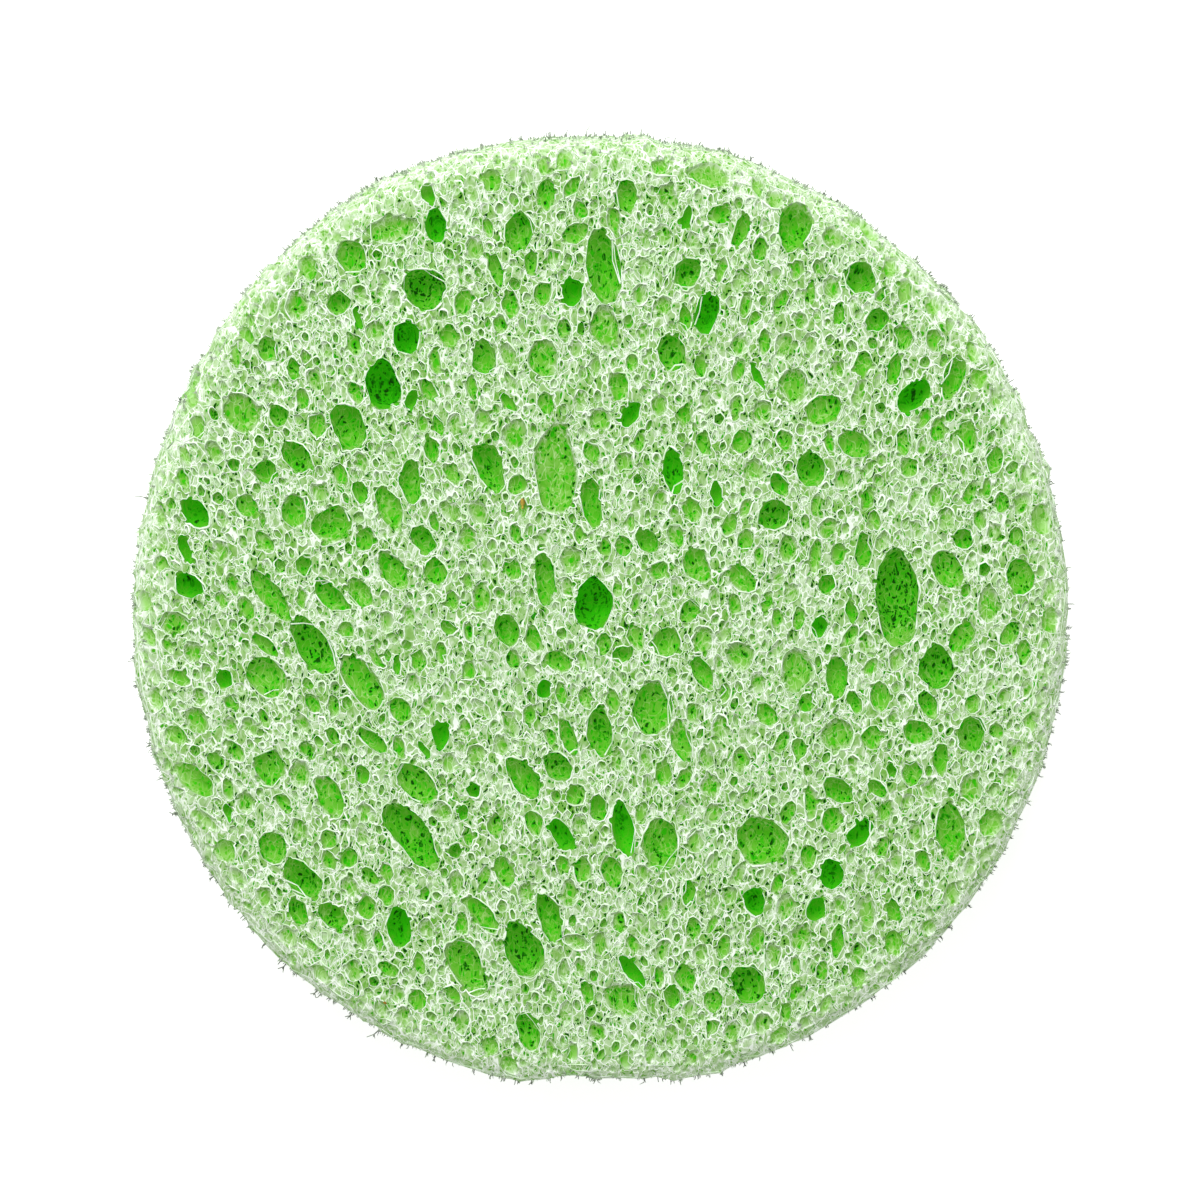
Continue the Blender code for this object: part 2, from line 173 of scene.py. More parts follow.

# %% [markdown]
# A pore is a bubble that the knife opened. Those of the front face were read from the photograph, because
# the sponge is known by them. Each has its centre, both lengths, the lean of its long axis from upright
# (anticlockwise), and how dark it looks, from 0 for a shallow pale dish to 3 for a deep well. The bubbles
# rose at a slant on the left, so their lean follows a grain there. A texture with a random net would be
# quicker, but it would be some other sponge.

# %% The pores of the front face
FRONT = [
    # upper left
    (-13.9,32.8,3,1.7,5,3), (-14.9,27.5,3.9,3.2,45,2), (-16.4,23.4,2.8,2.2,5,3),
    (-18.4,19.4,4.2,2.8,18,3), (-18.9,16.7,2.9,1.6,30,1), (-21.3,15.8,3.8,2.7,15,2),
    (-22.1,26.3,2,1.7,-40,2), (-29.9,23.6,2.5,1.3,40,2), (-30.8,22,2.2,0.9,5,1),
    (-21,30.2,2.8,2.3,10,1), (-17.6,32.5,4.4,2,-80,0), (-28.1,22.4,2.2,1.7,10,1),
    (-26,20.7,1.9,1,10,2), (-30.4,17,3.6,2.6,20,0), (-27.3,16.8,1.8,1.6,0,2),
    (-34.2,15.8,1.9,1.3,10,1), (-34.7,18.1,1.7,1.5,40,0), (-25.6,26,3,1.8,15,0),
    (-27.9,26.1,2.2,1.3,-10,0), (-20.5,25,2,0.6,20,3), (-16,18.1,1.7,0.9,-20,3),
    (-13.7,15.9,1.8,0.8,20,2), (-14.3,13.8,2.3,1.1,10,2), (-13.1,29.1,1.8,1.2,5,1),
    (-19,23.9,1.9,1.6,0,0), (-14.5,35.5,1.9,1.3,10,3),
    # top
    (-4.6,35.4,2.7,1.6,-5,1), (2.2,35.4,2.7,1.7,0,2), (-6.9,32.3,3.2,2.2,-10,2),
    (-5.8,29.8,3,1.5,0,2), (0.35,29.4,6,2.5,5,2), (-8.8,29.1,3,1.1,15,2), (-2.4,27.2,2.4,1.7,-10,3),
    (-4.8,27.1,2.2,1.4,-20,1), (-1.6,24.1,1.5,0.9,0,3), (-7.6,26.2,2.1,1.4,5,1),
    (0.4,24.2,3.4,2.4,5,0), (-3.9,23.3,3,1.7,38,2), (-4.8,21.5,3.3,2.2,12,0), (-9.8,21.6,3.1,1.8,5,2),
    (9.1,25.4,3.5,1.9,-12,3), (7.2,25.1,2.4,1,8,2), (7.4,28.9,2.7,2.1,-35,2),
    (7.3,33.5,2.1,0.8,-15,3), (10.1,33.8,2,1.5,-70,1), (11.9,32.5,3,1.2,-20,2),
    (13.5,30.8,2.4,1.1,-3,2), (12.4,30.1,2,0.8,-15,1), (6,22,3.1,2.1,5,2), (12.3,26.1,2.3,1,-15,1),
    (9.3,37.2,3.4,2.4,75,0), (5.1,37.9,1.6,1.4,-20,1), (-2.1,32.2,2.3,1.6,-60,1),
    (13.3,20.1,2.4,0.8,25,3), (8.5,21,2,0.9,5,2), (2.5,16.8,2.6,1.3,-30,3), (-4.65,17.8,1.9,1.3,5,1),
    (-7.8,17.9,1.9,0.8,45,2), (0,16.4,2.1,1.7,0,0), (-1.1,15.2,2.6,1.2,20,1), (7.1,16.8,1.7,1.3,0,1),
    (10.1,16.5,1,0.9,0,3), (-9.5,12.4,4.4,2.3,20,2), (-3.7,12,7.8,3.6,-3,0), (-7.3,15.2,2.6,2,0,0),
    (6.2,12,3.7,1.6,5,3),
    # upper right
    (16.5,32.9,4.2,2.5,-8,2), (22,28.6,2.9,2.6,-20,2), (19.7,31.9,2,1.7,0,0),
    (23.4,24.8,2.2,1.7,-45,2), (20.2,25.4,1.8,0.9,0,2), (25.8,27.4,2.4,1.1,-5,1),
    (25.6,23.4,2.2,1.5,10,1), (28.2,23.1,2,1.2,5,1), (24.9,20.7,2.9,1.1,-12,2),
    (26.6,18.4,3.2,1.9,-45,3), (29.9,19.9,3.4,1.6,-15,2), (27.5,21.3,1,1,0,2), (23.8,17.4,1,0.9,0,3),
    (32.1,20,2.2,1.4,-35,1), (17.8,27.1,2,0.9,-8,1), (18.4,29.4,1.3,1.1,0,1), (21.3,22.6,1.2,1,0,1),
    (23.1,22.9,1.1,0.8,40,2), (16.4,19.2,3.2,2.5,10,0), (18.9,17.2,3.2,2.2,-50,1),
    (21.6,14.4,2.9,2.1,60,1), (31.2,14.9,3,1.6,10,1), (28.7,15.6,2,1.2,0,1), (25.8,14.5,2.4,1.4,0,1),
    (33.5,12.9,2.5,1.5,-5,1),
    # left
    (-25.7,13.2,3,2,40,2), (-28.4,12,2,1.7,10,2), (-31.1,12.6,1.3,1,30,2), (-16.1,11.1,3.6,1.8,5,2),
    (-20.4,10.2,1.9,1.2,10,2), (-18,8.8,3.8,1.9,20,1), (-20.5,8.1,1.1,1.1,0,1),
    (-23,7.5,3.3,2.8,-60,1), (-26,8.6,2.8,2.2,0,1), (-30,9,2,1.7,40,1), (-34.4,8.4,2.9,1.8,45,3),
    (-36.4,9.2,1.4,1.3,0,2), (-32.5,9.7,1.1,1,0,2), (-35.3,5.3,2.6,0.9,20,3), (-35,2.3,2.6,1.8,70,3),
    (-37.4,4.1,1.4,1.2,0,1), (-38.9,0.9,1.8,1.2,25,1), (-17.7,3.6,3.5,1.9,38,1),
    (-15,6.1,2.4,1.7,40,2), (-14.1,7.6,1.6,0.8,20,2), (-23,1.4,3.5,1.7,45,2),
    (-20.5,1.6,3.2,1.8,42,1), (-25.2,4,1.9,1.3,0,2), (-27.2,3.9,1.3,0.9,20,2), (-28,1.4,5.2,1.9,38,1),
    (-24.5,-3.1,5.6,2.6,30,2), (-28.5,-2.9,3,1.3,48,2), (-26.7,-3.4,1.6,0.8,10,1),
    (-28.4,-5.6,3.6,2.8,65,1), (-32,-5.8,1.7,1.2,35,3), (-20.3,-6.1,5.2,2.4,35,1),
    (-35.9,-5.7,2.2,1.1,60,1), (-36.3,-1,2.4,2,60,0), (-38.3,-7.7,2.2,1.8,30,0),
    (-36.2,-10.6,2.2,1.4,55,1), (-22.8,-10.7,1.6,1,20,2), (-19.5,-11,3.1,1.3,50,2),
    (-13.6,-10.6,2.3,1.4,5,3), (-15,-11.9,1.5,0.6,35,3), (-12.9,-1.4,1.6,1.1,60,2),
    (-28.3,-13.5,3,2.4,10,1), (-32.8,-12.9,1.9,1.2,35,1), (-17.3,-4.6,1.4,0.6,0,3),
    # middle
    (-7,10.9,1.9,1.5,-40,1), (-0.7,9.3,4.7,1.8,8,2), (3.2,11.3,0.9,0.8,0,3), (9.9,10.2,2.1,1,10,3),
    (2.6,7.6,1.5,0.8,0,1), (4,6.1,2.1,1.6,40,2), (8.3,4,3,2,20,1), (12.1,2.9,2.9,1.8,45,1),
    (-4.7,2.9,4.3,1.7,8,2), (-0.6,0.7,4.3,2.9,3,3), (1.5,2,1.9,1,5,1), (-10.1,1.1,2.4,1.3,0,1),
    (-7.9,-1.6,2.8,2,15,2), (-8.6,1.6,1.3,1.1,60,1), (1.9,-3.7,1.9,1.5,-70,2),
    (3.1,-2.2,2.4,1.3,25,1), (5.7,-2.6,2.8,2.2,30,1), (8.7,-5.2,2.9,1.5,30,2), (8.8,-2.4,2.3,1.7,0,0),
    (7.6,0,2.2,1.5,-30,1), (11.4,0.6,1.9,1.1,0,1), (12,-3.8,2.5,2.2,0,0), (-3.6,-4.3,2.4,1.7,75,1),
    (-1.5,-4.2,1.7,0.8,15,1), (-4.8,-6.7,1.7,1.2,-15,3), (-3.3,-7.2,1.9,1,5,1),
    (1.1,-7.7,2.5,1.3,15,1), (4.5,-8.3,4.6,3,0,1), (7.9,-8.7,1.8,1.1,0,1), (0,-10.3,4,2.1,8,2),
    (-2.7,-10.9,3.1,1.3,18,2), (-3.6,-13.4,2.8,2,25,2), (6.9,-11.1,3.7,1.7,12,1),
    (5.5,-13.9,2.3,1.4,-5,1), (-6.5,-14.4,4,1.9,35,2),
    # right
    (17.9,12.2,2.7,2.4,20,2), (15.2,10.9,2.2,1.5,25,2), (13.1,12.1,2.1,1.6,0,0),
    (14.8,8.3,2.7,2.4,-30,2), (17.4,7.7,1.4,0.8,0,1), (22.4,5.2,3,1.4,-5,2), (18.3,4.7,3,1,-5,1),
    (16,5.5,2.4,1.8,0,0), (19.3,2.4,1.7,1.4,0,2), (25.3,1.3,8,3.6,4,2), (29.5,3.6,3.6,2.3,35,1),
    (30.9,6.2,1.8,1.5,60,2), (32.9,5.4,0.9,0.8,0,3), (32.7,3.6,1.3,1,0,3), (35.8,3,3.2,2.2,10,1),
    (35,4.8,2,1.3,-30,1), (37.8,7.8,2.6,2.2,0,1), (33.2,0.6,3.1,1.7,0,0), (21.4,0,1.9,1,15,2),
    (18.7,-1.3,1.7,1.3,0,3), (30.9,-2.2,2.9,1.9,-30,1), (20.2,-5.6,3.7,1.7,-3,2),
    (23.9,-7.3,2.5,1.6,0,1), (21.7,-7.8,2.3,1.2,25,2), (16.8,-5,3.6,2.5,10,0),
    (28.7,-4.8,3.6,2.8,10,2), (28,-7.9,2.5,1.4,25,2), (27.1,-10.4,2.7,2,75,1), (31.7,-10.6,3,2.1,0,2),
    (33.8,-10.3,1.6,1.4,0,1), (29.2,-12.6,2.5,1.2,-3,2), (36.8,-9.6,1.7,1,0,1),
    (14.2,-8.8,2.3,1.6,35,1), (20.3,-10.6,3,2.6,0,0), (17,-11.8,1.8,1.3,10,1),
    (24.9,-13.7,1.3,0.9,10,3), (26.7,-14,2.4,1.6,10,1), (33.3,-3.6,1.2,0.9,60,1),
    # lower left
    (-34.7,-14.5,4,2,50,1), (-20.3,-14.1,1.6,1.1,10,2), (-23.2,-16,3.9,1.9,25,1),
    (-31.9,-17.2,1.5,0.7,15,3), (-34.1,-17.8,3.4,1.2,55,0), (-16.2,-19.3,6.4,2.9,38,2),
    (-15.7,-14.7,4.2,2.4,45,1), (-28.1,-20.4,3.2,2.6,30,1), (-25.5,-23.1,3.9,2.3,42,2),
    (-31.2,-22.9,2.2,1.2,60,0), (-25.9,-26,2.5,1.5,25,2), (-23,-26.3,2.7,1.8,45,2),
    (-19.7,-22.8,1.9,1,45,2), (-15,-24.4,1.3,0.8,0,2), (-23.2,-19.6,1.7,1.4,40,1),
    (-17.2,-27.3,3.7,1.8,10,3), (-19,-28.4,2,0.9,15,1), (-24.8,-28.8,1.8,0.7,50,1),
    (-18.2,-30.9,2,1.1,60,1), (-19.4,-32,1,1,0,2), (-12.4,-20.7,1.3,1.2,0,3),
    (-22.5,-24.7,1.4,0.9,35,2),
    # foot
    (-10.8,-15.4,1.5,1.1,40,3), (-11.7,-17.3,1.4,0.9,5,3), (-2.1,-15.8,1.9,1.6,-40,1),
    (-0.1,-17,2.7,1.8,0,2), (2,-18.6,4.5,1.7,12,3), (-3.3,-19.2,3.2,1.6,32,3),
    (-1.7,-18.4,2.2,1.2,20,0), (5.2,-20.1,4.6,2.8,0,1), (1,-22.5,3,1.7,20,1),
    (-8.2,-22.5,2.9,1.6,15,1), (7.6,-24.4,2.3,1.1,-5,2), (13.2,-25.1,2.4,1.8,10,3),
    (-10.2,-26.1,3.9,1.6,42,1), (-4.4,-26.4,4.3,1.9,12,2), (-6.7,-29.3,4.8,3.1,20,2),
    (-11.5,-30.7,5,2.7,28,1), (-2,-28.6,2.2,1.3,70,0), (-3.1,-31.1,1.9,1,0,0), (1.6,-26.9,2,1,0,1),
    (8,-27.4,1.9,1.3,0,1), (2.8,-31.2,3.8,1.6,40,3), (3.8,-30.3,1.5,0.9,25,2),
    (5.1,-31.7,2.2,1.1,5,1), (7.4,-31.7,2.6,1.6,15,1), (12.7,-32.3,3.4,2.6,30,2),
    (1.9,-33.6,3.4,2.6,45,0), (-1.1,-32.9,1.9,1,15,2), (0.2,-34.2,1.9,1.2,25,3),
    (6.2,-33.4,2.2,1.3,10,2), (-6.2,-36.4,3.3,1.7,18,2), (-9.4,-37.6,1.6,1.3,0,1),
    # lower right
    (20.4,-15.4,2.9,1.8,45,2), (18,-16.5,3,1.1,3,1), (23.7,-15.2,1.9,1.1,40,2),
    (19.9,-17.9,2.4,2,0,1), (22.3,-19.1,2.6,1.8,-40,3), (13.9,-19.9,4.6,3.6,50,1),
    (19.9,-22.7,2.9,1.9,5,3), (30,-18.9,5,2.4,8,1), (33.5,-18.3,2.5,1.9,-20,1),
    (27.7,-21.5,2,1.2,20,1), (18.5,-25.7,2.1,1.5,-10,3), (18.3,-27.3,1.3,1.2,0,2),
    (20.4,-28.5,2.9,1,-3,2), (22.8,-26,3,1.6,0,0), (25.2,-25.8,2,1.1,12,2), (25.2,-28.7,2.4,1.5,0,1),
    (31.7,-15.2,2.8,1.8,0,0), (28.3,-27.5,1.6,1.4,0,0),
]
Pore = namedtuple("Pore", "x y long wide lean dark")
print(f"{len(FRONT)} pores read by eye")

# %% [markdown]
# The heights were read from the middle of the outline as the tilted view shows it, which takes in
# some of the top rim, so all the listed pores are raised by half a millimetre. Their borders are
# soft and read a little small, so they are also made slightly longer and wider.

# %% From the list to the face
RAISED = 0.5
LONGER = 1.04
WIDER = 1.1


def from_list(row):
    pore = Pore(*row)
    long, wide = pore.long * LONGER, min(pore.wide * WIDER, pore.long)
    return pore._replace(y=pore.y + RAISED, long=long, wide=wide)


by_size = sorted(FRONT, key=lambda row: -row[2] * row[3])
print(f"the largest pore is {from_list(by_size[0]).long:.1f} mm long")

# %% [markdown]
# Two pores keep a wall between them. A pore that comes too close to a larger one is made smaller
# in steps until the wall is there. The smaller pores and cells are thrown at random with a seed,
# each keeping clear of what is already there: large bubbles first and small ones in the gaps, as
# foam packs. Points scattered by a modifier would give no say over the walls between them. A coarse
# grid of places keeps the search short.

# %% Packing the foam
WALL = 0.26
GRID = 4.0


class Foam:
    """The pores of one face, or of the unrolled rim, with a coarse grid to find neighbours."""

    def __init__(self):
        self.pores = []
        self.grid = {}

    def near(self, pore):
        column, row = round(pore.x / GRID), round(pore.y / GRID)
        for across in range(column - 2, column + 3):
            for up in range(row - 2, row + 3):
                yield from self.grid.get((across, up), ())

    def add(self, pore):
        self.pores.append(pore)
        self.grid.setdefault((round(pore.x / GRID), round(pore.y / GRID)), []).append(pore)

    def clear(self, pore, wall):
        return not any(touch(pore, other, wall) for other in self.near(pore))


def reach_of(pore, x, y):
    """1 on the pore's mouth, less inside it."""
    lean = math.radians(pore.lean)
    dx, dy = x - pore.x, y - pore.y
    along = dy * math.cos(lean) - dx * math.sin(lean)
    across = dx * math.cos(lean) + dy * math.sin(lean)
    return math.hypot(along / (pore.long / 2), across / (pore.wide / 2))


def mouth(pore, turn, spare):
    """A place on the pore's mouth, or a little outside it, at a turn from its long axis."""
    along = (pore.long / 2 + spare) * math.cos(turn)
    across = (pore.wide / 2 + spare) * math.sin(turn)
    lean = math.radians(pore.lean)
    x = pore.x - along * math.sin(lean) + across * math.cos(lean)
    y = pore.y + along * math.cos(lean) + across * math.sin(lean)
    return x, y


TURNS = [math.tau * k / 14 for k in range(14)]
SHRINK_STEPS = (1.0, 0.94, 0.88, 0.82, 0.76, 0.7, 0.62)


def touch(small, large, wall):
    """Whether the small pore, grown by a wall, would reach into the large one."""
    gap = math.hypot(small.x - large.x, small.y - large.y)
    if gap > (small.long + large.long) / 2 + wall:
        return False
    if gap < (small.wide + large.wide) / 2 + wall:
        return True
    return any(reach_of(large, *mouth(small, t, wall)) < 1 for t in TURNS)


def settle(foam, pore):
    """Adds the pore at the largest size that leaves a wall round it."""
    for share in SHRINK_STEPS:
        smaller = pore._replace(long=pore.long * share, wide=pore.wide * share)
        if foam.clear(smaller, WALL):
            foam.add(smaller)
            return


# %% Random pores
Layer = namedtuple("Layer", "count largest smallest darks wall margin")
TRIES_EACH = 40
GRAIN_LEAN, GRAIN_SPREAD = 30, 13


def lean_at(x, chance):
    """The grain: bubbles lean to the left on the left, and a little to the right at the right."""
    return GRAIN_LEAN * max(-0.35, min(1.0, -x / 36)) + chance.gauss(0, GRAIN_SPREAD)


def throw(foam, chance, layer, place):
    """Adds a layer of pores of falling size where they fit, and returns how many found room."""
    most_tries = layer.count * TRIES_EACH
    made = 0
    for tries in range(most_tries):
        if made == layer.count:
            break
        x, y, lean = place()
        long = layer.largest + (layer.smallest - layer.largest) * (tries / most_tries) ** 0.5
        long *= chance.uniform(0.85, 1.15)
        wide = long * chance.uniform(0.48, 0.85)
        pore = Pore(x, y, long, wide, lean, chance.choice(layer.darks))
        if foam.clear(pore, layer.wall):
            foam.add(pore)
            made += 1
    return made


def face_place(chance, margin):
    def place():
        while True:
            x = chance.uniform(-0.5, 0.5) * WIDTH
            y = chance.uniform(-0.5, 0.5) * HEIGHT
            if edge_gap(x, y) > margin:
                return x, y, lean_at(x, chance)

    return place


def fill_face(foam, chance, layers):
    return [throw(foam, chance, layer, face_place(chance, layer.margin)) for layer in layers]


# %% [markdown]
# The front takes the listed pores first, then middling ones and at last the small cells between
# them. The knife tore the thin walls of the larger mouths, so small bubbles bite pieces out of them.

# %% The front foam
FRONT_LAYERS = [
    Layer(360, 2.3, 1.2, (0, 0, 0, 1, 1), 0.18, 1.2),
    Layer(1700, 1.2, 0.6, (0, 0, 1, 1, 1, 2), 0.13, 0.5),
]
BITTEN_FROM = 1.3
BITES_PER_MM = 2.2


def front_foam():
    foam = Foam()
    for row in by_size:
        settle(foam, from_list(row))
    known = len(foam.pores)
    larger, cells = fill_face(foam, random.Random(11), FRONT_LAYERS)
    print(f"front: {known} known pores, {larger} more, {cells} cells")
    return foam.pores


def torn_bites(pores):
    """Small bubbles that break through the mouths of the larger pores and leave them ragged."""
    foam = Foam()
    chance = random.Random(17)
    for pore in pores:
        if pore.long < BITTEN_FROM:
            continue
        for _ in range(round(pore.long * BITES_PER_MM)):
            long = chance.uniform(0.34, 0.9)
            x, y = mouth(pore, chance.uniform(0, math.tau), chance.uniform(-0.14, 0.06))
            bite = Pore(x, y, long, long * 0.7, chance.uniform(-90, 90), chance.choice((1, 2)))
            if foam.clear(bite, 0.03):
                foam.add(bite)
    print(f"front: {len(foam.pores)} ragged bites")
    return foam.pores


front = front_foam()
bites = torn_bites(front)

# %% [markdown]
# The back and the rim aren't in the photograph, so they are finished as more of the same foam. The
# rim is unrolled into a strip for the packing: one direction runs round it and the other up it.

# %% The pores of the back and the rim
ROUND_RIM = math.pi * (WIDTH + HEIGHT) / 2
RIM_BAND = THICKNESS - 2 * EDGE_ROUND
BACK_LAYERS = [
    Layer(150, 5.4, 2.0, (0, 1, 1, 2, 2, 3), 0.4, 1.6),
    Layer(240, 2.2, 1.3, (0, 0, 1, 1, 2), 0.35, 1.6),
    Layer(260, 1.3, 0.8, (0, 1, 1, 2), 0.2, 1.6),
]
RIM_LAYERS = [
    Layer(60, 3.8, 1.8, (0, 0, 1, 2), 0.35, 0),
    Layer(220, 1.5, 0.8, (0, 0, 1, 1), 0.2, 0),
]


def back_foam():
    foam = Foam()
    large, middle, cells = fill_face(foam, random.Random(12), BACK_LAYERS)
    print(f"back: {large} large pores, {middle} middling ones, {cells} cells")
    return foam.pores


def rim_foam():
    foam = Foam()
    chance = random.Random(13)

    def place():
        x = chance.uniform(2.0, ROUND_RIM - 2.0)
        y = chance.uniform(-0.5, 0.5) * (RIM_BAND + 1.6)
        return x, y, 80 + chance.gauss(0, 16)

    large, cells = (throw(foam, chance, layer, place) for layer in RIM_LAYERS)
    print(f"rim: {large} pores, {cells} cells")
    return foam.pores


back = back_foam()
rim = rim_foam()

# %% [markdown]
# Each pore is cut by a closed bubble: an icosphere that is stretched, leaned, and pushed in and
# out by noise, because no bubble in a foam is a true ellipsoid. A dark pore's bubble sits deep and
# is wider inside than at its mouth. A pale one is only a dish. Displacing a flat skin could never
# undercut a mouth like this.

# %% Bubbles
DEPTHS = (0.26, 0.44, 0.72, 1.15)
SUNK = (-0.35, -0.12, 0.12, 0.2)
DEEPEST = 4.6
UNEVEN = 0.26
FULLER = {1: 1.15, 2: 1.04, 3: 1.01}


def facets(pore):
    return 3 if pore.long > 3.4 else 2 if pore.long > 1.4 else 1


def depth_of(pore):
    return min(DEPTHS[pore.dark] * pore.wide, DEEPEST)


def add_bubble(bm, pore, seat):
    """Adds the closed bubble of a pore; seat takes the face's own plane to its place on the disc."""
    depth = depth_of(pore)
    sunk = depth * SUNK[pore.dark]
    half = depth - sunk
    level = facets(pore)
    wider = FULLER[level] / math.sqrt(1 - (sunk / half) ** 2)
    made = bmesh.ops.create_icosphere(bm, subdivisions=level, radius=1)["verts"]
    tune = Vector((pore.x * 1.7, pore.y * 1.7, pore.long))
    for vert in made:
        drift = noise.noise(vert.co * 1.1 + tune) + 0.45 * noise.noise(vert.co * 2.7 - tune)
        vert.co *= 1 + UNEVEN * drift
    size = Matrix.Diagonal((wider * pore.wide / 2, wider * pore.long / 2, half, 1))
    lean = Matrix.Rotation(math.radians(pore.lean), 4, "Z")
    place = seat @ Matrix.Translation((0, 0, -sunk)) @ lean @ size
    bmesh.ops.transform(bm, matrix=place, verts=made)


deepest = max(depth_of(pore) for pore in front)
print(f"the deepest pore goes down {deepest:.1f} mm")


# %% Where a bubble sits on each face
def front_seat(pore):
    return Matrix.Translation((pore.x, pore.y, THICKNESS - skin_drop(pore.x, pore.y)))


def back_seat(pore):
    sunk = skin_drop(-pore.x, pore.y)
    return Matrix.Rotation(math.pi, 4, "Y") @ Matrix.Translation((pore.x, pore.y, -sunk))


def rim_seat(pore):
    angle = math.tau * pore.x / ROUND_RIM
    over = max(0.0, abs(pore.y) - RIM_BAND / 2)
    out = Vector((math.cos(angle), math.sin(angle), 0))
    up = Vector((0, 0, 1))
    turn = Matrix((up.cross(out), up, out)).transposed().to_4x4()
    radius = outline_radius(angle) - (EDGE_ROUND - math.sqrt(EDGE_ROUND**2 - over**2))
    return Matrix.Translation(out * radius + up * (THICKNESS / 2 + pore.y)) @ turn


# %% Cutters
BATCH = 60


def make_cutter(name, pores, seat_of):
    """Bubbles are made a batch at a time, because operators slow down on a large mesh."""
    whole = bmesh.new()
    part = bpy.data.meshes.new("batch")
    for start in range(0, len(pores), BATCH):
        bm = bmesh.new()
        for pore in pores[start : start + BATCH]:
            add_bubble(bm, pore, seat_of(pore))
        bm.to_mesh(part)
        bm.free()
        whole.from_mesh(part)
    bpy.data.meshes.remove(part)
    print(f"{name}: {len(pores)} bubbles")
    return as_object(whole, name)


cutters = [
    make_cutter("front_bubbles", front, front_seat),
    make_cutter("back_bubbles", back, back_seat),
    make_cutter("rim_bubbles", rim, rim_seat),
    make_cutter("torn_bites", bites, front_seat),
]

# %% [markdown]
# The bubbles are taken away from the blank with Boolean modifiers. The MANIFOLD solver takes
# seconds where the exact one takes minutes, because all of them are closed. The faces come out in
# any order, so they are sorted to make every run the same. Then the flattest places are simplified.

# %% Cut the foam
def finished_mesh(holder):
    """The mesh that the object shows, with its modifiers or its bevel; the object is removed."""
    graph = bpy.context.evaluated_depsgraph_get()
    mesh = bpy.data.meshes.new_from_object(holder.evaluated_get(graph))
    bpy.data.objects.remove(holder)
    mesh.calc_loop_triangles()
    return mesh


def cut(body, cutters):
    """Takes each cutter away from the body and returns the cut mesh."""
    for cutter in cutters:
        step = body.modifiers.new(cutter.name, "BOOLEAN")
        step.operation = "DIFFERENCE"
        step.solver = "MANIFOLD"
        step.object = cutter
    mesh = finished_mesh(body)
    for cutter in cutters:
        bpy.data.objects.remove(cutter)
    return mesh


def put_in_order(parts, key):
    for rank, part in enumerate(sorted(parts, key=key)):
        part.index = rank
    parts.sort()


def ordered(mesh):
    """The same mesh with its parts sorted by place."""
    bm = bmesh.new()
    bm.from_mesh(mesh)
    put_in_order(bm.verts, lambda v: v.co[:])
    put_in_order(bm.edges, lambda e: sorted(v.index for v in e.verts))
    put_in_order(bm.faces, lambda f: sorted(v.index for v in f.verts))
    bm.to_mesh(mesh)
    bm.free()
    return mesh


# %% Thin the mesh
MOST_TRIANGLES = 190_000


def thinned(mesh, most):
    """The mesh with its flattest places simplified until it has this many triangles."""
    holder = new_object("holder", mesh)
    mesh.calc_loop_triangles()
    count = len(mesh.loop_triangles)
    thin = holder.modifiers.new("thin", "DECIMATE")
    thin.decimate_type = "COLLAPSE"
    thin.ratio = min(1.0, most / count)
    thin.use_collapse_triangulate = True
    light = finished_mesh(holder)
    print(f"foam: {count} triangles, thinned to {len(light.loop_triangles)}")
    return light


foam_mesh = thinned(ordered(cut(blank, cutters)), MOST_TRIANGLES)

# %% [markdown]
# Three numbers are kept at each vertex for the finish. "depth" is how far it lies under the skin of the
# uncut disc, and "green" is how dark its pore looks: paler near the mouth, where the cellulose is thin,
# and dark green further in. The darkening with depth is painted shade in the pores, on top of the green
# of the dyed cellulose. The third is 1 on the rim, which is drawn paler and given a painted glow that
# lifts its shade. Then all the vertices drift by a few hundredths of a millimetre, because a knife drags
# soft foam and leaves no mouth even.

# %% How deep a place lies
def depth_at(point):
    """Distance under the skin of the rounded disc, in millimetres."""
    side = edge_gap(point.x, point.y)
    face = min(point.z, THICKNESS - point.z)
    if side < EDGE_ROUND and face < EDGE_ROUND:
        return EDGE_ROUND - math.hypot(EDGE_ROUND - side, EDGE_ROUND - face)
    return min(side, face)


def bubble_frames():
    """Each pore with the frame of its bubble, turned round so that it maps into the bubble."""
    for pores, seat_of in ((front, front_seat), (back, back_seat), (rim, rim_seat)):
        for pore in pores:
            lean = Matrix.Rotation(math.radians(pore.lean), 4, "Z")
            size = Matrix.Diagonal((pore.wide / 2, pore.long / 2, max(depth_of(pore), 0.3), 1))
            frame_of = seat_of(pore) @ lean @ size
            yield pore, frame_of.translation, frame_of.inverted()


# %% The crushed rim
RAGGED_BAND = 4.0


def ragged_edge(point):
    """The die crushed the rim, so the outline wavers by a few tenths of a millimetre."""
    share = 1 - edge_gap(point.x, point.y) / RAGGED_BAND
    if share <= 0:
        return Vector((0, 0, 0))
    out = outwards(point)
    waver = 0.26 * noise.noise(out * 7) + 0.26 * noise.noise(out * 17)
    waver += 0.34 * noise.noise(out * 44 + Vector((0, 0, point.z * 0.6)))
    return out * waver * min(share, 1.0)


round_rim = [Vector((math.cos(a), math.sin(a), 0)) * (WIDTH / 2) for a in range(60)]
print(f"the rim wavers by up to {max(ragged_edge(p).length for p in round_rim):.2f} mm")

# %% Mark every vertex
MARKS = ("depth", "green", "worn")
DRIFT = 0.07
PALER_RIM_BAND = 2.8
SKIN_DEPTH = 0.03
NEIGHBOURS = 7
GREENS = (0.8, 0.84, 0.86, 0.95)
FADES = (0.42, 0.34, 0.24, 0.14)


